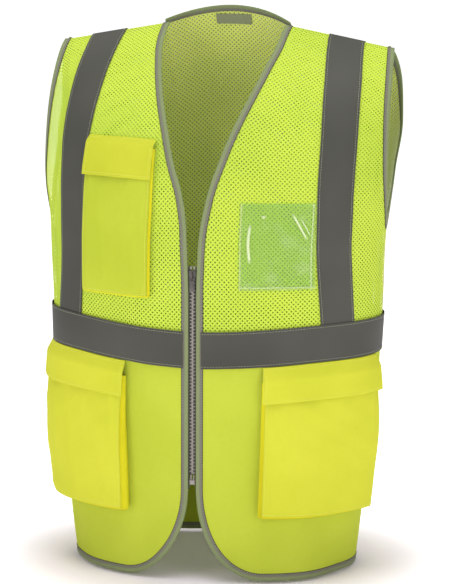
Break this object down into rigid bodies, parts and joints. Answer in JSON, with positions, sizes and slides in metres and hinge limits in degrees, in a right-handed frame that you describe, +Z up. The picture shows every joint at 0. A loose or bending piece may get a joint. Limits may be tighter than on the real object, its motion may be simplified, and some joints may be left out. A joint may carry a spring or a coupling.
{
  "type": "high visibility vest",
  "caption": "Fluorescent mesh safety vest with reflective tape, front zip, flap pockets and a clear card window.",
  "frame": {"origin": "on the middle plane of the body, level with the inner ends of the shoulder seams, above the side seams", "axes": "+X to the wearer's left, +Y to the wearer's back, +Z up"},
  "size_m": [0.4892, 0.2875, 0.7588],
  "materials": {
    "mesh_fabric": "open knitted mesh, fluorescent yellow-green",
    "solid_fabric": "tricot knit, fluorescent yellow-green",
    "pocket_fabric": "woven cloth, fluorescent yellow",
    "reflective_tape": "glass-bead reflective tape, satin grey",
    "binding": "folded grey polyester binding",
    "zip_tape": "woven zip tape",
    "zip_plastic": "moulded grey resin teeth",
    "zip_metal": "enamelled grey die-cast zinc",
    "clear_vinyl": "clear glossy flexible PVC film",
    "hook_and_loop": "hook and loop closure"
  },
  "bodies": {
    "root": {"back_mesh_panel": "mesh_fabric", "front_mesh_panel_left": "mesh_fabric", "front_mesh_panel_right": "mesh_fabric", "back_lower_panel": "solid_fabric", "front_lower_panel_left": "solid_fabric", "front_lower_panel_right": "solid_fabric", "chest_pocket_front": "pocket_fabric", "chest_pocket_gusset": "pocket_fabric", "cargo_left_pocket_front": "pocket_fabric", "cargo_left_pocket_gusset": "pocket_fabric", "cargo_right_pocket_front": "pocket_fabric", "cargo_right_pocket_gusset": "pocket_fabric", "front_tape_left": "reflective_tape", "front_tape_right": "reflective_tape", "back_tape_left": "reflective_tape", "back_tape_right": "reflective_tape", "belt_tape_front_left": "reflective_tape", "belt_tape_front_right": "reflective_tape", "belt_tape_back": "reflective_tape", "front_binding_left": "binding", "front_binding_right": "binding", "armhole_binding_left": "binding", "armhole_binding_right": "binding", "back_neck_binding": "binding", "hem_binding_back": "binding", "side_seam_left": "binding", "side_seam_right": "binding", "shoulder_seam_left": "binding", "shoulder_seam_right": "binding", "neck_tab": "binding", "zip_tape_left": "zip_tape", "zip_tape_right": "zip_tape", "zip_teeth_left": "zip_plastic", "zip_teeth_right": "zip_plastic", "zip_top_stop_left": "zip_plastic", "zip_top_stop_right": "zip_plastic", "zip_retainer_box": "zip_plastic", "zip_insertion_pin": "zip_plastic", "id_window": "clear_vinyl", "chest_loop_patch": "hook_and_loop", "cargo_left_loop_patch": "hook_and_loop", "cargo_right_loop_patch": "hook_and_loop"},
    "slider": {"zip_slider": "zip_metal"},
    "pull": {"zip_pull": "zip_metal"},
    "chest_lid": {"chest_flap": "pocket_fabric", "chest_hook_patch": "hook_and_loop"},
    "cargo_lid_left": {"cargo_left_flap": "pocket_fabric", "cargo_left_hook_patch": "hook_and_loop"},
    "cargo_lid_right": {"cargo_right_flap": "pocket_fabric", "cargo_right_hook_patch": "hook_and_loop"}
  },
  "joints": [
    {"name": "slider_travel", "type": "slide", "parent": "root", "child": "slider", "axis": [0, 0, -1], "range_m": [0, 0.272], "deforming": ["zip_teeth_left", "zip_teeth_right"]},
    {"name": "pull_flip", "type": "hinge", "parent": "slider", "child": "pull", "pos_m": [0, -0.132, -0.3196], "axis": [-1, 0, 0], "range_deg": [0, 135]},
    {"name": "chest_flap_lift", "type": "hinge", "parent": "root", "child": "chest_lid", "pos_m": [-0.1093, -0.0894, -0.1403], "axis": [-0.9541, 0.2995, 0], "range_deg": [0, 150]},
    {"name": "cargo_flap_left_lift", "type": "hinge", "parent": "root", "child": "cargo_lid_left", "pos_m": [0.1884, -0.0776, -0.4348], "axis": [-0.7776, -0.6274, -0.0414], "range_deg": [0, 150]},
    {"name": "cargo_flap_right_lift", "type": "hinge", "parent": "root", "child": "cargo_lid_right", "pos_m": [-0.1884, -0.0776, -0.4348], "axis": [-0.7776, 0.6274, 0.0414], "range_deg": [0, 150]}
  ]
}
